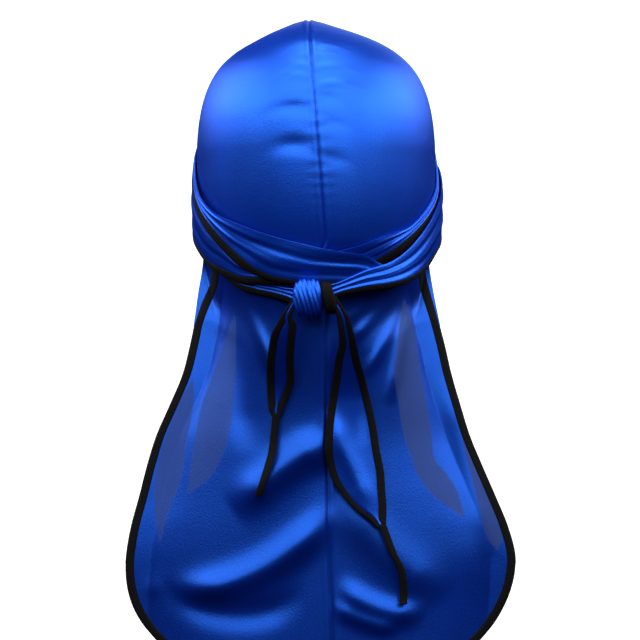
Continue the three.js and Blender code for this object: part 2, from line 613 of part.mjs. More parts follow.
function knotRoll(profile, sides) {
  const points = profile.map(([across, share]) => new THREE.Vector2((share * knot.height) / 2, across));
  const roll = closedGeometry(...latheParts(points, sides));
  roll.rotateZ(-Math.PI / 2);
  roll.scale(1, knot.depth / knot.height, 1);
  return roll;
}

function latheParts(points, sides) {
  const lathe = new THREE.LatheGeometry(points, sides);
  lathe.deleteAttribute("normal");
  lathe.deleteAttribute("uv");
  return [[...lathe.getAttribute("position").array], [...lathe.getIndex().array]];
}

const knotProfile = [
  [0, 0], [0, 0.6], [0.06, 0.82], [0.2, 0.95], [0.34, 0.9], [0.48, 1.0],
  [0.62, 0.92], [0.76, 0.98], [0.92, 0.86], [1, 0.7], [1, 0],
].map(([across, share]) => [across * knot.width, share]);
const knotTapeProfile = [
  [0, 0], [0, 0.66], [0.2, 0.82], [0.55, 0.84], [0.85, 0.74], [1, 0.56], [1, 0],
].map(([across, share]) => [across * knot.tapeWidth, share]);

const knotLeft = knotSeat.x - knot.width / 2;
const knotMiddle = knotBack - knot.depth / 2;
const knotLevel = knotSeat.z;
const roll = knotRoll(knotProfile, 16);
roll.translate(knotLeft, knotMiddle, knotLevel);
addPiece("knot", roll, "satin");
const rollTape = knotRoll(knotTapeProfile, 14);
rollTape.translate(knotLeft + knot.width + gap, knotMiddle, knotLevel);
addPiece("knot_tape", rollTape, "tape");

// Free ends: each tie's end hangs from the knot over the cape, spread to a leaf whose two taped
// edges run together into one narrow tip.
const tailTop = knotLevel - knot.height * knot.tailShare;

function tailPlace(x, level, lift) {
  const fromKnot = smooth(0, 60, tailTop - level);
  const hung = capeDepth(x, level) + tails.standOff * lift;
  const out = knot.depth * 0.5 - knotBack;
  const depth = out + (hung - out) * fromKnot;
  return new THREE.Vector3(x, -Math.max(depth, hung), level);
}

function tailStrip(rows, length, width, edges, thickness, steps) {
  const outer = [];
  const inner = [];
  const first = rows[0].fall;
  const last = rows[rows.length - 1].fall;
  for (let i = 0; i <= steps; i += 1) {
    const fall = first + ((last - first) * i) / steps;
    const row = readTable(rows, "fall", fall);
    const level = tailTop - fall * length;
    const outerRow = [];
    const innerRow = [];
    for (const x of edges(row, width)) {
      const face = tailPlace(knotSeat.x + x, level, row.lift ?? 0.5);
      outerRow.push(face.clone().setY(face.y - thickness));
      innerRow.push(face);
    }
    outer.push(outerRow);
    inner.push(innerRow);
  }
  return sheetGeometry(outer, inner);
}

function addTail(name, rows, tipRows, length, width) {
  const slit = 0.8;
  const leafSteps = 3;
  const tapeOf = (row, size) => Math.min(tape.tailWidth, ((row.right - row.left) * size - slit) / 2 - gap);
  const leaf = (row, size) => {
    const clear = tapeOf(row, size) + gap;
    const low = row.left * size + clear;
    const high = row.right * size - clear;
    return Array.from({ length: leafSteps + 1 }, (_, k) => low + ((high - low) * k) / leafSteps);
  };
  const leftEdge = (row, size) => [row.left * size, row.left * size + tapeOf(row, size)];
  const rightEdge = (row, size) => [row.right * size - tapeOf(row, size), row.right * size];
  const tip = (row, size) => [row.middle * size - tape.tailWidth / 2, row.middle * size + tape.tailWidth / 2];
  addPiece(name, tailStrip(rows, length, width, leaf, cloth, 18), "satin");
  addPiece(name + "_tape_left", tailStrip(rows, length, width, leftEdge, tape.thickness, 18), "tape");
  addPiece(name + "_tape_right", tailStrip(rows, length, width, rightEdge, tape.thickness, 18), "tape");
  addPiece(name + "_tip", tailStrip(tipRows, length, width, tip, tape.thickness, 8), "tape");
}

addTail("tail_left", leftTailRows, leftTipRows, tails.leftLength, tails.leftWidth);
addTail("tail_right", rightTailRows, rightTipRows, tails.rightLength, tails.rightWidth);

export default durag;
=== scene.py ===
import math

import bpy
import numpy as np
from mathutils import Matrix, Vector


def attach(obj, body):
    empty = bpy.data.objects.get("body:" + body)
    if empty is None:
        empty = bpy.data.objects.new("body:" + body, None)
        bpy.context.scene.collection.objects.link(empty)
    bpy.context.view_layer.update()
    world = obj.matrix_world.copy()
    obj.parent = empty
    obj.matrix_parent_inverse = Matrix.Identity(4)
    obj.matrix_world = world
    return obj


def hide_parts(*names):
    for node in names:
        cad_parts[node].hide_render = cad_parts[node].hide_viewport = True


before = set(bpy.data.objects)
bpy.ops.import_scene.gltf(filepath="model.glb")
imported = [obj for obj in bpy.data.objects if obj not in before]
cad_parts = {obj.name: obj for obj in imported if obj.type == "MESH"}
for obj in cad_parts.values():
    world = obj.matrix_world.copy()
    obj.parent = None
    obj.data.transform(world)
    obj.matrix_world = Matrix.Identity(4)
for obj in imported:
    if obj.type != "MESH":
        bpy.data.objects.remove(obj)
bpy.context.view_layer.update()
mm = 0.001

# Studio: a pale floor well below, a white backdrop behind, and soft boxes above, over the top, at both
# sides, low beside the front and in front. The camera looks level at the back of the durag from 1.6 m away.
floor_level = -0.9
floor_size = 9
backdrop_depth = 3.4
backdrop_size = 8

bpy.ops.object.select_all(action="DESELECT")
bpy.ops.mesh.primitive_plane_add(size=floor_size, location=(0, 0, floor_level))
floor = bpy.context.object
floor.name = "studio_floor"
floor_paint = bpy.data.materials.new("studio_floor_paint")
floor_paint.use_nodes = True
floor_paint.node_tree.nodes["Principled BSDF"].inputs["Base Color"].default_value = (0.82, 0.83, 0.85, 1)
floor_paint.node_tree.nodes["Principled BSDF"].inputs["Roughness"].default_value = 0.85
floor.data.materials.append(floor_paint)

bpy.ops.object.select_all(action="DESELECT")
backdrop_middle = floor_level + backdrop_size / 2 - 0.01
bpy.ops.mesh.primitive_plane_add(size=backdrop_size, location=(0, backdrop_depth, backdrop_middle))
backdrop = bpy.context.object
backdrop.name = "studio_backdrop"
backdrop.rotation_euler = (math.radians(90), 0, 0)
backdrop_glow = bpy.data.materials.new("studio_backdrop_glow")
backdrop_glow.use_nodes = True
glow = backdrop_glow.node_tree.nodes["Principled BSDF"]
glow.inputs["Base Color"].default_value = (0.8, 0.8, 0.8, 1)
glow.inputs["Emission Color"].default_value = (1, 1, 1, 1)
glow.inputs["Emission Strength"].default_value = 0.95
backdrop.data.materials.append(backdrop_glow)
for board in (floor, backdrop):
    board.visible_diffuse = False
    board.visible_glossy = False

room = bpy.data.worlds.new("studio_room")
room.use_nodes = True
room_light = room.node_tree.nodes["Background"]
room_light.inputs["Strength"].default_value = 1.0
room_place = room.node_tree.nodes.new("ShaderNodeTexCoord")
room_split = room.node_tree.nodes.new("ShaderNodeSeparateXYZ")
room_tone = room.node_tree.nodes.new("ShaderNodeValToRGB")
room_tone.color_ramp.elements[0].position = 0.45
room_tone.color_ramp.elements[0].color = (0.015, 0.015, 0.018, 1)
room_tone.color_ramp.elements[1].position = 0.62
room_tone.color_ramp.elements[1].color = (0.05, 0.052, 0.06, 1)
room_lift = room.node_tree.nodes.new("ShaderNodeMath")
room_lift.operation = "MULTIPLY_ADD"
room_lift.inputs[1].default_value = 0.5
room_lift.inputs[2].default_value = 0.5
room.node_tree.links.new(room_place.outputs["Generated"], room_split.inputs["Vector"])
room.node_tree.links.new(room_split.outputs["Z"], room_lift.inputs[0])
room.node_tree.links.new(room_lift.outputs["Value"], room_tone.inputs["Fac"])
room.node_tree.links.new(room_tone.outputs["Color"], room_light.inputs["Color"])
bpy.context.scene.world = room
bpy.context.scene.view_settings.view_transform = "Standard"


def soft_box(name, place, aim, width, height, watts):
    bpy.ops.object.light_add(type="AREA", location=place)
    box = bpy.context.object
    box.name = name
    box.data.shape = "RECTANGLE"
    box.data.size = width
    box.data.size_y = height
    box.data.energy = watts
    box.rotation_euler = (Vector(aim) - Vector(place)).to_track_quat("-Z", "Y").to_euler()


soft_box("box_above", (0.0, -1.35, 0.98), (0, 0, -0.06), 3.2, 1.6, 66)
soft_box("box_top", (0.0, -0.25, 1.55), (0, 0, 0), 2.0, 1.1, 40)
soft_box("box_left", (-1.45, 0.1, 0.75), (0, 0, -0.06), 2.2, 0.8, 30)
soft_box("box_left_low", (-1.1, 0.85, 0.4), (0, 0, -0.06), 1.3, 0.5, 5)
soft_box("box_right", (1.45, 0.1, 0.75), (0, 0, -0.06), 2.2, 0.8, 30)
soft_box("box_right_low", (1.1, 0.85, 0.4), (0, 0, -0.06), 1.3, 0.5, 5)
soft_box("box_front", (0.3, 1.3, 0.6), (0, 0, -0.12), 1.0, 0.6, 2)

camera_level = -190.5 * mm
camera_across = 2.6 * mm
camera_distance = 1.6
view_width = 416 * mm
bpy.ops.object.camera_add(location=(camera_across, -camera_distance, camera_level))
camera = bpy.context.object
camera.rotation_euler = (math.radians(90), 0, 0)
camera.data.sensor_width = 36
camera.data.lens = 36 * camera_distance / view_width
bpy.context.scene.camera = camera


# Satin: royal blue polyester with a glossy face. The threads run in fine floats that spread the light
# sideways. The cape's copy is darker with weaker gloss, which is painted shade, and its sheer sides get a
# greyish colour, which is painted backdrop light showing through the cloth.
def satin_cloth(name, with_painted_backlight, painted_shade_scale):
    cloth = bpy.data.materials.new(name)
    cloth.use_nodes = True
    nodes = cloth.node_tree.nodes
    link = cloth.node_tree.links.new
    shader = nodes["Principled BSDF"]
    shader.inputs["Metallic"].default_value = 0.6
    shader.inputs["IOR"].default_value = 2.2
    # A shade factor below 1 also weakens the gloss: part of the cape's painted shade.
    shader.inputs["Specular IOR Level"].default_value = painted_shade_scale
    shader.inputs["Specular Tint"].default_value = (0.08, 0.43, 1.0, 1)
    shader.inputs["Anisotropic"].default_value = 0.25

    where = nodes.new("ShaderNodeTexCoord")
    patches = nodes.new("ShaderNodeTexNoise")
    patches.inputs["Scale"].default_value = 28
    patches.inputs["Detail"].default_value = 3
    link(where.outputs["Object"], patches.inputs["Vector"])
    # Two dye tones that vary at random; a shade factor below 1 darkens them for the cape: painted shade.
    dye_and_painted_shade = nodes.new("ShaderNodeValToRGB")
    dye_and_painted_shade.color_ramp.elements[0].position = 0.3
    dye_and_painted_shade.color_ramp.elements[0].color = (0.0003, 0.015 * painted_shade_scale, 0.3 * painted_shade_scale, 1)
    dye_and_painted_shade.color_ramp.elements[1].position = 0.7
    dye_and_painted_shade.color_ramp.elements[1].color = (0.0004, 0.02 * painted_shade_scale, 0.37 * painted_shade_scale, 1)
    link(patches.outputs["Fac"], dye_and_painted_shade.inputs["Fac"])

    colour = dye_and_painted_shade.outputs["Color"]
    # On the cape the sheer mark mixes in a greyish colour: painted backdrop light seen through the cloth.
    if with_painted_backlight:
        see_through = nodes.new("ShaderNodeAttribute")
        see_through.attribute_name = "sheer"
        backlight_tint = nodes.new("ShaderNodeMix")
        backlight_tint.data_type = "RGBA"
        backlight_tint.inputs["B"].default_value = (0.017, 0.014, 0.11, 1)
        link(see_through.outputs["Fac"], backlight_tint.inputs["Factor"])
        link(colour, backlight_tint.inputs["A"])
        colour = backlight_tint.outputs["Result"]
    link(colour, shader.inputs["Base Color"])

    threads = nodes.new("ShaderNodeMapping")
    threads.inputs["Scale"].default_value = (1500, 1500, 950)
    link(where.outputs["Object"], threads.inputs["Vector"])
    floats = nodes.new("ShaderNodeTexNoise")
    floats.inputs["Scale"].default_value = 1
    floats.inputs["Detail"].default_value = 2
    link(threads.outputs["Vector"], floats.inputs["Vector"])
    gloss = nodes.new("ShaderNodeMapRange")
    gloss.inputs["To Min"].default_value = 0.31
    gloss.inputs["To Max"].default_value = 0.43
    link(floats.outputs["Fac"], gloss.inputs["Value"])
    roughness = gloss.outputs["Result"]
    if with_painted_backlight:
        matt = nodes.new("ShaderNodeMath")
        matt.operation = "MULTIPLY_ADD"
        matt.inputs[1].default_value = 0.28
        link(see_through.outputs["Fac"], matt.inputs[0])
        link(roughness, matt.inputs[2])
        roughness = matt.outputs["Value"]
    link(roughness, shader.inputs["Roughness"])
    weave = nodes.new("ShaderNodeBump")
    weave.inputs["Strength"].default_value = 0.9
    weave.inputs["Distance"].default_value = 0.15 * mm
    link(floats.outputs["Fac"], weave.inputs["Height"])
    link(weave.outputs["Normal"], shader.inputs["Normal"])
    threads_along = nodes.new("ShaderNodeTangent")
    threads_along.direction_type = "UV_MAP"
    link(threads_along.outputs["Tangent"], shader.inputs["Tangent"])
    return cloth


satin = satin_cloth("royal_satin", with_painted_backlight=False, painted_shade_scale=1.0)


# Crown: two satin panels on a form the size of a head, joined by a ridge seam from the nape over the
# top to the forehead. The seam draws the cloth in, so that it puckers on both sides.
half_breadth = 77.4
back_reach = 99.5
front_reach = 95.0
head_drop = 180.0
apex_shift = -4.5
seam_lean = 13.0
top_level = 2.9
cloth = 1.2
gap = 0.35


def named_rows(names, *rows):
    """A table as its columns by name."""
    return dict(zip(names.split(), np.array(rows, float).T))


head_rows = named_rows(
    "drop half back front pinch",
    (0, 0, 0, 0, 1.15),
    (0.0056, 0.103, 0.21, 0.2, 1.15),
    (0.0144, 0.165, 0.325, 0.31, 1.18),
    (0.0289, 0.25, 0.44, 0.42, 1.22),
    (0.0578, 0.426, 0.585, 0.56, 1.3),
    (0.0867, 0.5652, 0.686, 0.6565, 1.4),
    (0.1156, 0.676, 0.76, 0.73, 1.5),
    (0.158, 0.7876, 0.8249, 0.8056, 1.638),
    (0.2, 0.8596, 0.8632, 0.8576, 1.754),
    (0.2456, 0.912, 0.895, 0.9, 1.85),
    (0.3, 0.9528, 0.9298, 0.9392, 1.924),
    (0.355, 0.9783, 0.9559, 0.9687, 1.968),
    (0.41, 0.993, 0.9741, 0.9888, 1.99),
    (0.4622, 1, 0.9861, 1, 2),
    (0.512, 1, 0.9938, 1, 2),
    (0.562, 1, 0.9984, 1, 2),
    (0.6111, 1, 1.0002, 1, 2),
    (0.66, 0.997, 0.9991, 0.9941, 2),
    (0.705, 0.9924, 0.9948, 0.9874, 2),
    (0.75, 0.985, 0.9866, 0.98, 2),
    (0.805, 0.9711, 0.9704, 0.9704, 2),
    (0.8611, 0.95, 0.947, 0.96, 2),
    (0.93, 0.9151, 0.9155, 0.9462, 2),
    (1, 0.88, 0.885, 0.93, 2),
    (1.12, 0.84, 0.845, 0.9, 2),
    (1.25, 0.815, 0.825, 0.88, 2),
    (1.4, 0.805, 0.815, 0.87, 2),
)
head_rows["run"] = np.sqrt(head_rows["drop"])

rim_rows = named_rows(
    "turn rim",
    (0, 0.884),
    (30, 0.857),
    (60, 0.784),
    (75, 0.707),
    (90, 0.629),
    (110, 0.545),
    (140, 0.485),
    (180, 0.473),
)


def read_rows(rows, key, at):
    """Every column of a table at places in its key column, on a smooth curve."""
    keys = rows[key]
    at = np.clip(at, keys[0], keys[-1])
    low = np.clip(np.searchsorted(keys, at, side="right") - 1, 0, len(keys) - 2)
    span = keys[low + 1] - keys[low]
    t = (at - keys[low]) / span
    found = {}
    for name, values in rows.items():
        slope = np.gradient(values)
        slope[1:-1] = (values[2:] - values[:-2]) / (keys[2:] - keys[:-2])
        slope[0] = (values[1] - values[0]) / (keys[1] - keys[0])
        slope[-1] = (values[-1] - values[-2]) / (keys[-1] - keys[-2])
        found[name] = (
            (2 * t**3 - 3 * t**2 + 1) * values[low]
            + (t**3 - 2 * t**2 + t) * slope[low] * span
            + (3 * t**2 - 2 * t**3) * values[low + 1]
            + (t**3 - t**2) * slope[low + 1] * span
        )
    return found


def smooth(low, high, value):
    """0 below low, 1 above high, and a soft step between."""
    t = np.clip((np.asarray(value, float) - low) / (high - low), 0, 1)
    return t * t * (3 - 2 * t)


def head_form(turn, drop):
    """Points of the head form at turns from the back, in degrees, and drops from the top, in mm."""
    share = np.maximum(drop, 0) / head_drop
    row = read_rows(head_rows, "run", np.sqrt(share))
    sine = np.sin(np.radians(turn))
    cosine = np.cos(np.radians(turn))
    reach = np.where(cosine >= 0, row["back"] * back_reach, row["front"] * front_reach)
    along = np.sign(cosine) * np.sqrt(np.maximum(0, 1 - np.abs(sine) ** row["pinch"]))
    apex = apex_shift * (1 - smooth(0, 0.09, share))
    lean = seam_lean * (share - 0.37) * smooth(0, 0.09, share) * (1 - smooth(0.8, 0.88, share))
    x = row["half"] * half_breadth * sine + apex + lean * np.maximum(0, cosine) ** 6
    return np.stack([x, -reach * along, top_level - drop], axis=-1)


def on_head(turn, drop, lift):
    """The same points, moved out of the head by lift."""
    step = 0.8
    round_way = head_form(turn + step, drop) - head_form(turn - step, drop)
    down_way = head_form(turn, drop + step) - head_form(turn, np.maximum(drop - step, 0))
    normal = np.cross(down_way, round_way)
    normal[np.broadcast_to(drop, normal.shape[:-1]) < 0.01] = (0, 0, 1)
    normal /= np.maximum(np.linalg.norm(normal, axis=-1, keepdims=True), 1e-9)
    return head_form(turn, drop) + normal * np.asarray(lift)[..., None]


def cut_sheet(name, columns, rows, place):
    """A flat sheet, shaped by place(across, down), which gives points in mm. Its face looks outwards."""
    bpy.ops.object.select_all(action="DESELECT")
    bpy.ops.mesh.primitive_grid_add(x_subdivisions=columns, y_subdivisions=rows, size=1)
    sheet = bpy.context.object
    sheet.name = name
    flat = np.array([vertex.co for vertex in sheet.data.vertices])
    shaped = place(flat[:, 0] + 0.5, 0.5 - flat[:, 1]) * mm
    sheet.data.vertices.foreach_set("co", shaped.astype(np.float32).ravel())
    sheet.data.update()
    outward = 0.0
    for face in sheet.data.polygons:
        inside = Vector((0, 0, min(face.center.z, -0.09)))
        outward += face.normal.dot(face.center - inside) * face.area
    if outward < 0:
        sheet.data.flip_normals()
    return sheet


def thicken(sheet, thickness, edge):
    """Gives a sheet its thickness inwards and rounds its cut edges."""
    bpy.context.view_layer.objects.active = sheet
    wall = sheet.modifiers.new("wall", "SOLIDIFY")
    wall.thickness = thickness * mm
    wall.offset = -1
    bpy.ops.object.modifier_apply(modifier=wall.name)
    if edge:
        rounding = sheet.modifiers.new("rounding", "BEVEL")
        rounding.width = edge * mm
        rounding.segments = 2
        rounding.limit_method = "ANGLE"
        rounding.angle_limit = math.radians(60)
        bpy.ops.object.modifier_apply(modifier=rounding.name)
    bpy.ops.object.shade_smooth_by_angle(angle=math.radians(50))


def dress(piece, material, slot, *nodes):
    """Paints a finished piece, puts it on the body and lets it stand for its CAD nodes."""
    piece.data.materials.append(material)
    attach(piece, "root")
    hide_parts(*nodes)


# Puckers and hollows in the back of the crown: across and level say where, in mm from the seam's top.
pucker_rows = [
    {"across": 13, "level": -34, "long": 12, "tall": 1.8, "height": 0.8},
    {"across": 12, "level": -45, "long": 12, "tall": 2.0, "height": 0.9},
    {"across": 9, "level": -54, "long": 8, "tall": 3.4, "height": -0.9},
    {"across": 11, "level": -20, "long": 9, "tall": 1.6, "height": 0.35},
    {"across": 10, "level": -26, "long": 9, "tall": 1.6, "height": 0.35},
    {"across": -9, "level": -33, "long": 8, "tall": 1.8, "height": 0.6},
    {"across": -10, "level": -40, "long": 8, "tall": 2.0, "height": 0.6},
    {"across": -8, "level": -26, "long": 7, "tall": 1.6, "height": 0.4},
    {"across": -14, "level": -60, "long": 12, "tall": 4.0, "height": -1.2},
    {"across": -15, "level": -83, "long": 12, "tall": 5.0, "height": -1.1},
    {"across": 10, "level": -70, "long": 9, "tall": 3.5, "height": -0.4},
    {"across": 9, "level": -92, "long": 9, "tall": 4.0, "height": -0.4},
]


def crown_face(side):
    def place(across, down):
        turn = 180 * across**1.25
        rim = read_rows(rim_rows, "turn", turn)["rim"] * head_drop
        drop = rim * down**1.5
        form = head_form(side * turn, drop)
        seam = head_form(np.where(turn <= 90, 0.0, 180.0), drop)[:, 0]
        off = np.abs(form[:, 0] - seam)
        behind = turn < 90
        lift = np.zeros(len(turn))
        for row in pucker_rows:
            along = (form[:, 0] - seam - row["across"]) / row["long"]
            up = (form[:, 2] - row["level"] + 1.8 * along**2) / row["tall"]
            lift += np.where(behind, row["height"] * np.exp(-(along**2) - up**2), 0)
        wave = np.cos(2 * np.pi * drop / 7.3 + 1.3 * np.sin(drop / 9))
        lift += 0.1 * np.exp(-((off / 7) ** 2)) * wave * smooth(6, 16, drop) * (1 - smooth(110, 140, drop))
        lift += 0.35 * np.exp(-(((off - 2.2) / 1.3) ** 2)) - 0.8 * np.exp(-((off / 0.9) ** 2))
        face = on_head(side * turn, drop, lift)
        clear = np.maximum(side * (face[:, 0] - seam), 0)
        face[:, 0] = seam + side * np.where(across > 0, clear, 0)
        return face

    return place


for side, hand in ((-1, "left"), (1, "right")):
    panel = cut_sheet(f"crown_{hand}", 130, 120, crown_face(side))
    thicken(panel, cloth, 0)
    dress(panel, satin, "satin", f"crown_{hand}_panel")


# Ties: long ribbons of the same satin that start at the crown's front corners, wind round the head
# one and a half times and lie in lengthwise pleats. Black tape is sewn along the lower edge.
tape_cloth = bpy.data.materials.new("black_tape")
tape_cloth.use_nodes = True
tape_nodes = tape_cloth.node_tree.nodes
tape_link = tape_cloth.node_tree.links.new
tape_shader = tape_nodes["Principled BSDF"]
tape_shader.inputs["Specular IOR Level"].default_value = 0.05
tape_place = tape_nodes.new("ShaderNodeTexCoord")
tape_ribs = tape_nodes.new("ShaderNodeTexNoise")
tape_ribs.inputs["Scale"].default_value = 900
tape_link(tape_place.outputs["Object"], tape_ribs.inputs["Vector"])
tape_dye = tape_nodes.new("ShaderNodeValToRGB")
tape_dye.color_ramp.elements[0].color = (0.001, 0.001, 0.0012, 1)
tape_dye.color_ramp.elements[1].color = (0.004, 0.0036, 0.004, 1)
tape_link(tape_ribs.outputs["Fac"], tape_dye.inputs["Fac"])
tape_link(tape_dye.outputs["Color"], tape_shader.inputs["Base Color"])
tape_bump = tape_nodes.new("ShaderNodeBump")
tape_bump.inputs["Strength"].default_value = 0.3
tape_bump.inputs["Distance"].default_value = 0.2 * mm
tape_link(tape_ribs.outputs["Fac"], tape_bump.inputs["Height"])
tape_link(tape_bump.outputs["Normal"], tape_shader.inputs["Normal"])
tape_shader.inputs["Roughness"].default_value = 0.75

tie_tape_width = 4.8
tape_gap = 0.55
band_tilt = 0.8
left_rise = 1.4
right_rise = 5.0
rise_span = 22
pitch = cloth + gap + 0.1

left_tie_rows = named_rows(
    "turn top bottom layer tape",
    (-142, 0.35, 0.45, 1, 0.6),
    (-120, 0.373, 0.473, 1, 0.8),
    (-102, 0.429, 0.492, 1, 1),
    (-88, 0.495, 0.517, 1, 1.2),
    (-75, 0.584, 0.6, 1.7, 1.5),
    (-62, 0.656, 0.684, 2.75, 1.7),
    (-50, 0.706, 0.76, 3.1, 1.7),
    (-38, 0.74, 0.838, 3.1, 1.4),
    (-22, 0.784, 0.908, 3, 0.8),
    (-6, 0.818, 0.93, 3, 0.6),
    (8, 0.834, 0.932, 3, 0.6),
    (22, 0.845, 0.934, 3, 0.6),
    (34, 0.879, 0.945, 2.7, 0.6),
    (50, 0.818, 0.912, 2, 0.6),
    (70, 0.729, 0.84, 2, 0.7),
    (90, 0.629, 0.784, 2, 0.8),
    (115, 0.518, 0.673, 2, 0.8),
    (140, 0.429, 0.551, 2, 0.8),
    (160, 0.362, 0.473, 1.6, 0.8),
    (180, 0.329, 0.429, 1.1, 0.8),
    (200, 0.362, 0.473, 1.6, 0.8),
    (220, 0.44, 0.562, 2.1, 0.8),
    (240, 0.545, 0.67, 1.3, 0.8),
    (260, 0.62, 0.75, 1, 0.8),
    (275, 0.673, 0.79, 1, 0.8),
    (290, 0.74, 0.829, 1, 0.8),
    (305, 0.818, 0.882, 1, 0.8),
    (318, 0.912, 0.94, 1, 0.8),
    (330, 0.942, 0.962, 1, 0.8),
    (339, 0.953, 0.975, 1, 0.8),
    (346, 0.96, 0.985, 2.4, 0.8),
    (353, 0.96, 1.005, 4, 0.8),
)
right_tie_rows = named_rows(
    "turn top bottom layer tape",
    (-142, 0.35, 0.45, 1, 0.66),
    (-120, 0.373, 0.473, 1, 0.8),
    (-102, 0.435, 0.502, 1, 1),
    (-86, 0.567, 0.592, 1, 1.3),
    (-67, 0.667, 0.688, 1, 1.4),
    (-50, 0.745, 0.77, 1, 1.6),
    (-41, 0.768, 0.81, 1, 1.5),
    (-30, 0.79, 0.856, 1, 1.2),
    (-17, 0.818, 0.908, 1.5, 0.8),
    (-6, 0.838, 0.932, 2, 0.6),
    (8, 0.862, 0.932, 2, 0.5),
    (25, 0.868, 0.924, 2, 0.8),
    (38, 0.851, 0.915, 2, 1),
    (48, 0.79, 0.891, 2, 1),
    (60, 0.728, 0.862, 2, 0.9),
    (75, 0.634, 0.8, 2, 0.8),
    (90, 0.553, 0.748, 2, 0.7),
    (105, 0.49, 0.662, 2.3, 0.7),
    (125, 0.407, 0.584, 3, 0.7),
    (145, 0.351, 0.507, 3.15, 0.7),
    (165, 0.318, 0.451, 2.8, 0.7),
    (180, 0.307, 0.429, 2.3, 0.7),
    (195, 0.318, 0.451, 2.8, 0.7),
    (215, 0.373, 0.515, 3, 0.7),
    (240, 0.465, 0.61, 3, 0.7),
    (258, 0.512, 0.71, 3, 0.7),
    (272, 0.588, 0.768, 3, 0.7),
    (288, 0.672, 0.812, 3, 0.7),
    (300, 0.742, 0.862, 3, 0.75),
    (314, 0.818, 0.904, 3.4, 0.75),
    (326, 0.868, 0.928, 3.9, 0.75),
    (338, 0.898, 0.944, 4, 0.7),
    (350, 0.938, 0.968, 4.1, 0.6),
    (356, 0.948, 0.995, 4.15, 0.6),
)


def stand_off(turn, side):
    """How far a band's lower edge stands off, most where the bands come down to the knot."""
    full_at = np.where(side > 0, 45, 318)
    rise = np.where(side > 0, left_rise, right_rise)
    return band_tilt + rise * np.exp(-(((turn - full_at) / rise_span) ** 2))


def tie_face(rows, side):
    first = rows["turn"][0]
    last = rows["turn"][-1]

    def place(along, across):
        turn = first + (last - first) * along
        row = read_rows(rows, "turn", turn)
        upper = row["top"] * head_drop
        lower = row["bottom"] * head_drop + tape_gap
        drop = upper + (lower - upper) * across
        inside = np.sin(np.pi * np.clip(across, 0, 1)) ** 0.6
        pleats = 0.34 * np.sin(2 * np.pi * (2.2 * across + turn / 310)) * inside
        pleats += 0.1 * np.sin(2 * np.pi * (4.6 * across - turn / 170)) * inside
        lift = (row["layer"] - 1) * pitch + gap + cloth + np.minimum(pleats, 0.35)
        lift += stand_off(turn, side) * across
        return on_head(side * turn, drop, lift)

    return place


def tie_tape_face(rows, side):
    first = rows["turn"][0]
    last = rows["turn"][-1]

    def place(along, across):
        turn = first + (last - first) * along
        row = read_rows(rows, "turn", turn)
        upper = row["bottom"] * head_drop + 0.1
        drop = upper + (tape_gap + tie_tape_width * row["tape"]) * across
        domed = 0.3 - 0.9 * np.abs(2 * across - 1) ** 4
        lift = (row["layer"] - 1) * pitch + gap + cloth + stand_off(turn, side) + domed
        return on_head(side * turn, drop, lift)

    return place


for side, hand, rows in ((1, "left", left_tie_rows), (-1, "right", right_tie_rows)):
    tie = cut_sheet(f"tie_{hand}_wound", 420, 30, tie_face(rows, side))
    thicken(tie, 1.0, 0.25)
    dress(tie, satin, "satin", f"tie_{hand}")
    binding = cut_sheet(f"tie_{hand}_binding", 420, 10, tie_tape_face(rows, side))
    thicken(binding, 1.2, 0.2)
    dress(binding, tape_cloth, "edge_tape", f"tie_{hand}_tape")


# Cape: two long panels sewn to the crown's lower edge and to each other, left to hang behind the
# neck. Its own weight draws slanting folds from the knot, and tape binds it all round.
cape_length = 252.0
cape_half = 122.0
hem_reach = 96.0
corner_width = 70.0
corner_height = 66.0
flap_width = 16.0
flap_turn = 0.85
over_top = 0.075
leave_fall = 0.07
leave_span = 0.14
form_end = 1.38
side_limit = 0.97
rim_bend = 5 / 17
cape_tape_width = 6.0
seam_drop = rim_rows["rim"][0] * head_drop

cape_rows = named_rows(
    "fall half reach bow middle seam",
    (-0.08, 0.578, 0.909, 1.12, 0, 0.02),
    (0.02, 0.596, 0.906, 1.12, 0, 0.045),
    (0.086, 0.618, 0.9, 1.12, 0, 0.047),
    (0.136, 0.636, 0.9, 1.1, 0.004, 0.048),
    (0.199, 0.664, 0.883, 1.06, 0.008, 0.05),
    (0.274, 0.7, 0.865, 1.01, 0.006, 0.053),
    (0.349, 0.754, 0.854, 0.965, -0.004, 0.056),
    (0.424, 0.811, 0.857, 0.93, -0.014, 0.058),
    (0.499, 0.866, 0.871, 0.9, -0.006, 0.06),
    (0.574, 0.918, 0.891, 0.87, 0.008, 0.062),
    (0.65, 0.97, 0.909, 0.84, 0.019, 0.065),
    (0.725, 1, 0.927, 0.82, 0.025, 0.07),
    (0.86, 1, 0.964, 0.81, 0.012, 0.08),
    (1, 1, 1, 0.8, 0.014, 0.085),
)

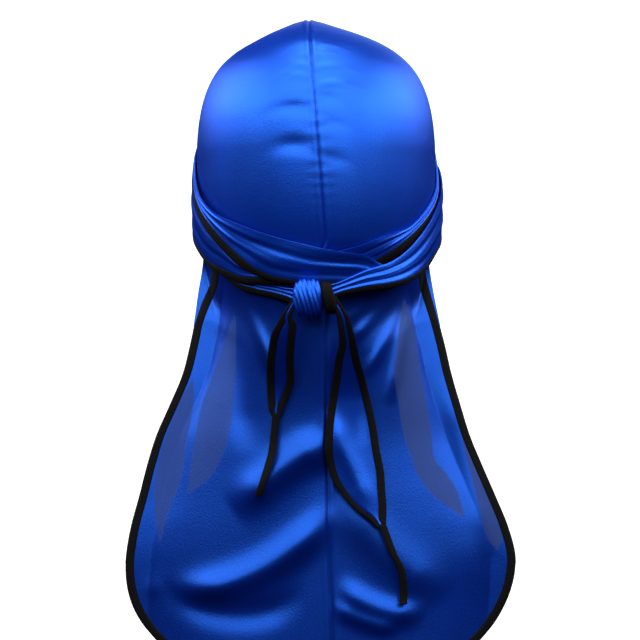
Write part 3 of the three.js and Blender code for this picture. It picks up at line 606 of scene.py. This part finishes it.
# Folds: each is a ridge, or a hollow below 0, along a bowed line over the cape.
fold_rows = [
    {"from": (-0.385, 0.05), "to": (-0.202, 0.279), "sag": 0, "width": 4, "height": 2.4},
    {"from": (-0.436, 0.131), "to": (-0.345, 0.444), "sag": 0, "width": 10, "height": -2.6},
    {"from": (0.474, 0.052), "to": (0.265, 0.264), "sag": 0.012, "width": 3.5, "height": 2.4},
    {"from": (0.418, 0.048), "to": (0.184, 0.185), "sag": 0.005, "width": 3.5, "height": 2.2},
    {"from": (0.357, 0.048), "to": (0.143, 0.141), "sag": 0, "width": 3, "height": 1.5},
    {"from": (0.484, 0.087), "to": (0.377, 0.333), "sag": 0, "width": 4, "height": 2},
    {"from": (-0.558, 0.048), "to": (-0.832, 0.805), "sag": 0.14, "width": 5, "height": 3},
    {"from": (0.682, 0.291), "to": (0.88, 0.704), "sag": 0.01, "width": 7, "height": 3},
    {"from": (0.072, 0.426), "to": (-0.395, 0.589), "sag": -0.012, "width": 10, "height": 5.5},
    {"from": (0.062, 0.613), "to": (-0.7, 0.805), "sag": 0.045, "width": 9, "height": 6},
    {"from": (-0.741, 0.805), "to": (-0.08, 0.815), "sag": 0.045, "width": 9, "height": -2.2},
    {"from": (0.062, 0.367), "to": (0.286, 0.599), "sag": 0, "width": 6, "height": 2.8},
    {"from": (0.123, 0.786), "to": (0.53, 0.855), "sag": 0.02, "width": 7, "height": 3.2},
    {"from": (0.092, 0.83), "to": (0.408, 0.889), "sag": 0.01, "width": 5, "height": 2.2},
    {"from": (0.148, 0.579), "to": (0.631, 0.8), "sag": 0.02, "width": 12, "height": 3},
    {"from": (0.072, 0.161), "to": (0.011, 0.505), "sag": 0, "width": 4, "height": 1.4},
    {"from": (0.184, 0.136), "to": (0.235, 0.431), "sag": 0, "width": 5, "height": -1.6},
]


def level_of(fall):
    return top_level - seam_drop - fall * cape_length


def fall_of(level):
    return (top_level - seam_drop - level) / cape_length


def fold_height(x, level):
    height = np.zeros(len(x))
    for fold in fold_rows:
        start_x = fold["from"][0] * cape_half
        start_z = level_of(fold["from"][1])
        span_x = fold["to"][0] * cape_half - start_x
        span_z = level_of(fold["to"][1]) - start_z
        t = ((x - start_x) * span_x + (level - start_z) * span_z) / (span_x**2 + span_z**2)
        near = np.clip(t, 0, 1)
        bowed = fold["sag"] * cape_length * 4 * near * (1 - near)
        off_x = x - (start_x + span_x * near)
        off_z = level - (start_z + span_z * near) + bowed
        off = (off_x**2 + off_z**2) / fold["width"] ** 2
        height += fold["height"] * np.exp(-off) * smooth(-0.1, 0.25, t) * (1 - smooth(0.75, 1.1, t))
    return height


def cape_depth(x, level):
    """How far behind the head's middle the cape's outer face stands."""
    fall = fall_of(level)
    hang = read_rows(cape_rows, "fall", fall)
    half = hang["half"] * cape_half
    off = np.abs(x - hang["middle"] * cape_half)
    across = off - np.maximum(0, off - (half - flap_width)) * flap_turn
    hung = hang["reach"] * hem_reach * np.sqrt(np.maximum(0.02, 1 - (across * hang["bow"] / half) ** 2))
    share = np.minimum((top_level - level) / head_drop, form_end)
    head = read_rows(head_rows, "run", np.sqrt(share))
    inside = np.minimum(np.abs(x) / (head["half"] * half_breadth), side_limit)
    worn = head["back"] * back_reach * np.sqrt(1 - inside**2)
    outward = np.abs(x) / (cape_rows["half"][0] * cape_half)
    start = leave_fall * (1 - smooth(0.5, 1, outward))
    free = smooth(0, leave_span, fall - start)
    return worn + (hung + fold_height(x, level) - worn) * free


def cape_face(x, level, lift):
    step = 1.2
    slope_x = (cape_depth(x + step, level) - cape_depth(x - step, level)) / (2 * step)
    slope_z = (cape_depth(x, level + step) - cape_depth(x, level - step)) / (2 * step)
    normal = np.stack([-slope_x, -np.ones(len(x)), -slope_z], axis=-1)
    normal /= np.linalg.norm(normal, axis=-1, keepdims=True)
    return np.stack([x, -cape_depth(x, level), level], axis=-1) + normal * np.asarray(lift)[..., None]


cape_top = level_of(-over_top)
corner_level = level_of(1) + corner_height
side_share = 0.66


def cape_outline(down):
    """The edge of one side, from the neck (0) to the middle of the hem's straight part (1)."""
    fraction = np.clip(down / side_share, 0, 1)
    side_level = cape_top + (corner_level - cape_top) * fraction
    side_x = read_rows(cape_rows, "fall", fall_of(side_level))["half"] * cape_half
    angle = np.radians(90) * np.clip((down - side_share) / (1 - side_share), 0, 1)
    round_corner = down > side_share
    out_x = np.where(round_corner, np.cos(angle), 1.0)
    out_z = np.where(round_corner, -np.sin(angle), 0.0)
    x = np.where(round_corner, cape_half - corner_width + corner_width * np.cos(angle), side_x)
    level = np.where(round_corner, corner_level - corner_height * np.sin(angle), side_level)
    return x, level, out_x, out_z


def rim_follow(x, level):
    """The top of the cape bends with the crown's lower edge."""
    turn = np.degrees(np.arcsin(np.minimum(np.abs(x) / half_breadth, 1)))
    rim = read_rows(rim_rows, "turn", turn)["rim"] * head_drop
    fade = (cape_top - corner_level) * rim_bend
    return (top_level - rim - gap - cape_top) * (1 - smooth(0, fade, cape_top - level))


def tape_tuck(side, level):
    """Near the top the cape's edge is folded back, so that its tape lies inside it."""
    return np.where(side < 0, 5.5, 2.0) * smooth(-198, -164, level)


def cape_panel_face(side):
    def place(across, down):
        x, level, out_x, out_z = cape_outline(down)
        inset = (cape_tape_width - 0.6) * (1 - smooth(-206, -194, level))
        level = level - out_z * inset
        hang = read_rows(cape_rows, "fall", fall_of(level))
        seam = hang["seam"] * cape_half
        off = np.abs(hang["middle"] * cape_half + side * (x - out_x * inset) - seam) * across
        x = seam + side * off
        level = level + rim_follow(x, level)
        crease = -0.9 * np.exp(-((off / 1.2) ** 2)) + 0.3 * np.exp(-(((off - 3) / 1.6) ** 2))
        return cape_face(x, level, crease * smooth(0.02, 0.1, down))

    return place


# Sheer zones: places at the cape's sides where the sheer cloth lets the backdrop's light through, with
# their left and right edges by level in mm. They are marked on the panels' points, and there the cape's
# satin is rougher and gets a greyish colour, which is painted backdrop light.
# How strongly the painted backdrop light shows on the left and on the right side.
left_backlight_strength = 0.8
right_backlight_strength = 1.0
sheer_zones = [
    named_rows(
        "level low high",
        (-299.0, -80.5, -79.9),
        (-290.3, -79.2, -67.5),
        (-279.2, -78.0, -60.0),
        (-264.9, -76.1, -54.4),
        (-244.4, -71.8, -51.3),
        (-224.6, -65.0, -50.1),
        (-206.0, -58.2, -49.8),
        (-187.4, -51.3, -50.1),
    ),
    named_rows(
        "level low high",
        (-313.9, 93.1, 93.2),
        (-306.4, 81.3, 91.3),
        (-296.5, 70.2, 88.2),
        (-286.0, 62.7, 81.3),
        (-277.3, 59.6, 74.5),
        (-262.4, 54.7, 72.7),
        (-240.7, 51.0, 69.3),
        (-223.4, 48.5, 65.8),
        (-201.7, 51.0, 63.4),
        (-193.0, 52.2, 62.1),
        (-175.6, 55.2, 55.4),
    ),
    named_rows(
        "level low high",
        (-330.0, -97.5, -97.0),
        (-316.0, -100.5, -93.5),
        (-302.0, -101.5, -88.5),
        (-289.7, -101.0, -84.0),
        (-271.0, -97.0, -81.5),
        (-240.0, -85.4, -76.5),
        (-228.0, -78.0, -77.0),
    ),
    named_rows(
        "level low high",
        (-334.0, 113.0, 114.0),
        (-326.0, 106.8, 117.0),
        (-302.0, 100.6, 113.0),
        (-277.0, 94.4, 100.0),
        (-262.0, 91.0, 92.0),
    ),
]


# Marks each point's share of the painted backdrop light.
def mark_sheer(panel):
    points = np.array([vertex.co for vertex in panel.data.vertices]) / mm
    share = np.zeros(len(points))
    for zone in sheer_zones:
        edges = read_rows(zone, "level", points[:, 2])
        inside = np.minimum(points[:, 0] - edges["low"], edges["high"] - points[:, 0])
        within = (points[:, 2] > zone["level"][0]) & (points[:, 2] < zone["level"][-1])
        backlight_strength = left_backlight_strength if zone["low"][0] < 0 else right_backlight_strength
        share = np.maximum(share, np.where(within, backlight_strength * smooth(-0.4, 0.9, inside), 0))
    mark = panel.data.attributes.new("sheer", "FLOAT", "POINT")
    mark.data.foreach_set("value", share.astype(np.float32))


# The cape's copy is darkened to 0.68: painted shade.
cape_satin = satin_cloth("royal_satin_cape_painted_shade", with_painted_backlight=True, painted_shade_scale=0.68)
for side, hand in ((-1, "left"), (1, "right")):
    panel = cut_sheet(f"cape_{hand}", 130, 190, cape_panel_face(side))
    thicken(panel, 1.0, 0)
    mark_sheer(panel)
    dress(panel, cape_satin, "satin", f"cape_{hand}_panel")


def cape_tape_face(along, across):
    side = np.where(along < 0.5, 1.0, -1.0)
    down = 1 - np.abs(2 * along - 1)
    hem_start = 0.88
    place_down = np.clip(down / hem_start, 0, 1)
    x, level, out_x, out_z = cape_outline(0.02 + 0.98 * place_down)
    hem = np.clip((down - hem_start) / (1 - hem_start), 0, 1)
    x = x * np.where(down > hem_start, 1 - hem, 1)
    inset = cape_tape_width * across + tape_tuck(side, level)
    level = level - out_z * inset
    x = read_rows(cape_rows, "fall", fall_of(level))["middle"] * cape_half + side * (x - out_x * inset)
    level = level + rim_follow(x, level)
    domed = 0.5 - 0.9 * np.abs(2 * across - 1) ** 4
    return cape_face(x, level, domed)


cape_binding = cut_sheet("cape_binding", 700, 12, cape_tape_face)
thicken(cape_binding, 1.4, 0.2)
dress(cape_binding, tape_cloth, "edge_tape", "cape_tape")


# Knot: the tie's last turn, drawn tight over the other one. It is a short roll of pleated satin with
# the tape of its edge at the right.
knot_width = 19.0
knot_height = 23.0
knot_depth = 13.0
knot_turn = -4.0
knot_drop = 180.0
knot_tape_width = 7.5
knot_seat = on_head(np.array([knot_turn]), np.array([knot_drop]), np.array([0.0]))[0]
knot_back = knot_seat[1] - (4 * pitch + gap)
knot_middle = knot_back - knot_depth / 2


def tie_roll(name, left, width, height, depth, pleat, slant):
    """A closed roll lying across, with pleats that slant round it."""
    bpy.ops.object.select_all(action="DESELECT")
    bpy.ops.mesh.primitive_uv_sphere_add(segments=120, ring_count=70, radius=1)
    roll = bpy.context.object
    roll.name = name
    ball = np.array([vertex.co for vertex in roll.data.vertices])
    across = np.arcsin(np.clip(ball[:, 2], -1, 1)) / np.pi + 0.5
    angle = np.arctan2(ball[:, 1], ball[:, 0])
    swell = (1 - np.abs(2 * across - 1) ** 4) ** 0.5
    ridge = pleat * np.cos(2 * np.pi * across * 7 + 8 * np.sin(angle))
    ridge += pleat * 0.5 * np.cos(2 * np.pi * across * 3 + 5 * np.sin(angle) + 1)
    size = swell * (1 + ridge)
    shaped = np.stack(
        [
            left + width * across - slant * np.sin(angle),
            knot_middle + size * depth / 2 * np.cos(angle),
            knot_seat[2] + size * height / 2 * np.sin(angle),
        ],
        axis=-1,
    )
    roll.data.vertices.foreach_set("co", (shaped * mm).astype(np.float32).ravel())
    roll.data.update()
    bpy.ops.object.mode_set(mode="EDIT")
    bpy.ops.mesh.select_all(action="SELECT")
    bpy.ops.mesh.normals_make_consistent(inside=False)
    bpy.ops.object.mode_set(mode="OBJECT")
    bpy.ops.object.shade_smooth()
    return roll


knot_left = knot_seat[0] - knot_width / 2
knot_roll = tie_roll("knot_wrap", knot_left, knot_width, knot_height, knot_depth, 0.045, 0.0)
dress(knot_roll, satin, "satin", "knot")
strap_left = knot_left + knot_width - 1.5
knot_binding = tie_roll("knot_binding", strap_left, knot_tape_width + 1.5, 19.5, 11, 0.0, 1.6)
dress(knot_binding, tape_cloth, "edge_tape", "knot_tape")


# Free ends: each tie's end spreads below the knot to a leaf of satin between its two taped edges,
# which then run together into one narrow strip. The strip laps over the ends of the two tapes.
tail_tape_width = 4.8
tail_stand_off = 4.0
tip_lap = 2.5
tail_top = knot_seat[2] - knot_height * 0.16

left_tail_rows = named_rows(
    "fall left right lift",
    (0.0, -0.79, -0.59, 1.0),
    (0.06, -0.97, -0.59, 0.9),
    (0.1, -1.1, -0.42, 0.8),
    (0.16, -1.32, -0.44, 0.6),
    (0.285, -1.465, -0.51, 0.5),
    (0.414, -1.5, -0.52, 0.5),
    (0.548, -1.43, -0.894, 0.5),
    (0.585, -1.32, -0.98, 0.5),
)
left_tip_rows = named_rows(
    "fall middle",
    (0.59, -1.15),
    (0.76, -1.3),
    (0.82, -1.4),
    (1.0, -1.79),
)
right_tail_rows = named_rows(
    "fall left right lift",
    (0.0, 0.48, 0.6, 1.0),
    (0.05, 0.48, 0.69, 0.8),
    (0.128, 0.513, 0.795, 0.6),
    (0.185, 0.449, 0.859, 0.5),
    (0.268, 0.397, 0.976, 0.5),
    (0.402, 0.3, 1.132, 0.5),
    (0.496, 0.284, 1.205, 0.5),
    (0.56, 0.349, 1.265, 0.5),
    (0.61, 0.465, 1.281, 0.5),
    (0.677, 0.727, 1.305, 0.5),
    (0.724, 1.04, 1.3, 0.5),
    (0.745, 1.14, 1.295, 0.5),
)
right_tip_rows = named_rows(
    "fall middle",
    (0.748, 1.235),
    (0.827, 1.404),
    (0.882, 1.535),
    (0.936, 1.584),
    (1.0, 1.584),
)


def tail_place(x, level, lift):
    from_knot = smooth(0, 60, tail_top - level)
    hung = cape_depth(x, level) + tail_stand_off * lift
    out = knot_depth * 0.5 - knot_back
    depth = np.maximum(out + (hung - out) * from_knot, hung)
    return np.stack([x, -depth, level], axis=-1)


def tail_strip(rows, length, width, edges, bulge, lift_more):
    first = rows["fall"][0]
    start = 1.0 if first > 0 else 0.0
    last = rows["fall"][-1]

    def place(across, down):
        fall = first + (last - first) * down
        row = read_rows(rows, "fall", fall)
        low, high = edges(row, width)
        beneath = 1 - smooth(0, 9, (fall + start) * length)
        x = low + (high - low) * across
        x = x - np.sign(x) * 5 * beneath
        face = tail_place(knot_seat[0] + x, tail_top + 5 * beneath - fall * length, row.get("lift", 0.5))
        domed = bulge * (1 - np.abs(2 * across - 1) ** 3)
        face[:, 1] -= 1.2 + lift_more + domed
        return face

    return place


def free_end(name, rows, tip_rows, length, width):
    slit = 0.8

    def tape_of(row, size):
        return np.minimum(tail_tape_width, ((row["right"] - row["left"]) * size - slit) / 2 - gap)

    def leaf(row, size):
        clear = tape_of(row, size) - 0.3
        return row["left"] * size + clear, row["right"] * size - clear

    def left_edge(row, size):
        return row["left"] * size, row["left"] * size + tape_of(row, size)

    def right_edge(row, size):
        return row["right"] * size - tape_of(row, size), row["right"] * size

    def tip(row, size):
        return row["middle"] * size - tail_tape_width / 2, row["middle"] * size + tail_tape_width / 2

    cloth_leaf = cut_sheet(name + "_leaf", 24, 120, tail_strip(rows, length, width, leaf, 0.8, 0.0))
    thicken(cloth_leaf, 0.9, 0)
    dress(cloth_leaf, satin, "satin", name)
    edges = []
    for hand, edge in (("left", left_edge), ("right", right_edge)):
        strip_face = tail_strip(rows, length, width, edge, 0.5, 0.4)
        binding = cut_sheet(f"{name}_binding_{hand}", 10, 120, strip_face)
        thicken(binding, 1.3, 0.2)
        dress(binding, tape_cloth, "edge_tape", f"{name}_tape_{hand}")
        edges.append(binding)
    tip_rows["fall"][0] -= tip_lap / length
    strip = cut_sheet(f"{name}_end", 10, 60, tail_strip(tip_rows, length, width, tip, 0.5, 0.7))
    thicken(strip, 1.3, 0.2)
    dress(strip, tape_cloth, "edge_tape", f"{name}_tip")
    return cloth_leaf, [*edges, strip]


left_leaf, left_pieces = free_end("tail_left", left_tail_rows, left_tip_rows, 118.0, 17.0)
right_leaf, right_pieces = free_end("tail_right", right_tail_rows, right_tip_rows, 184.0, 37.0)
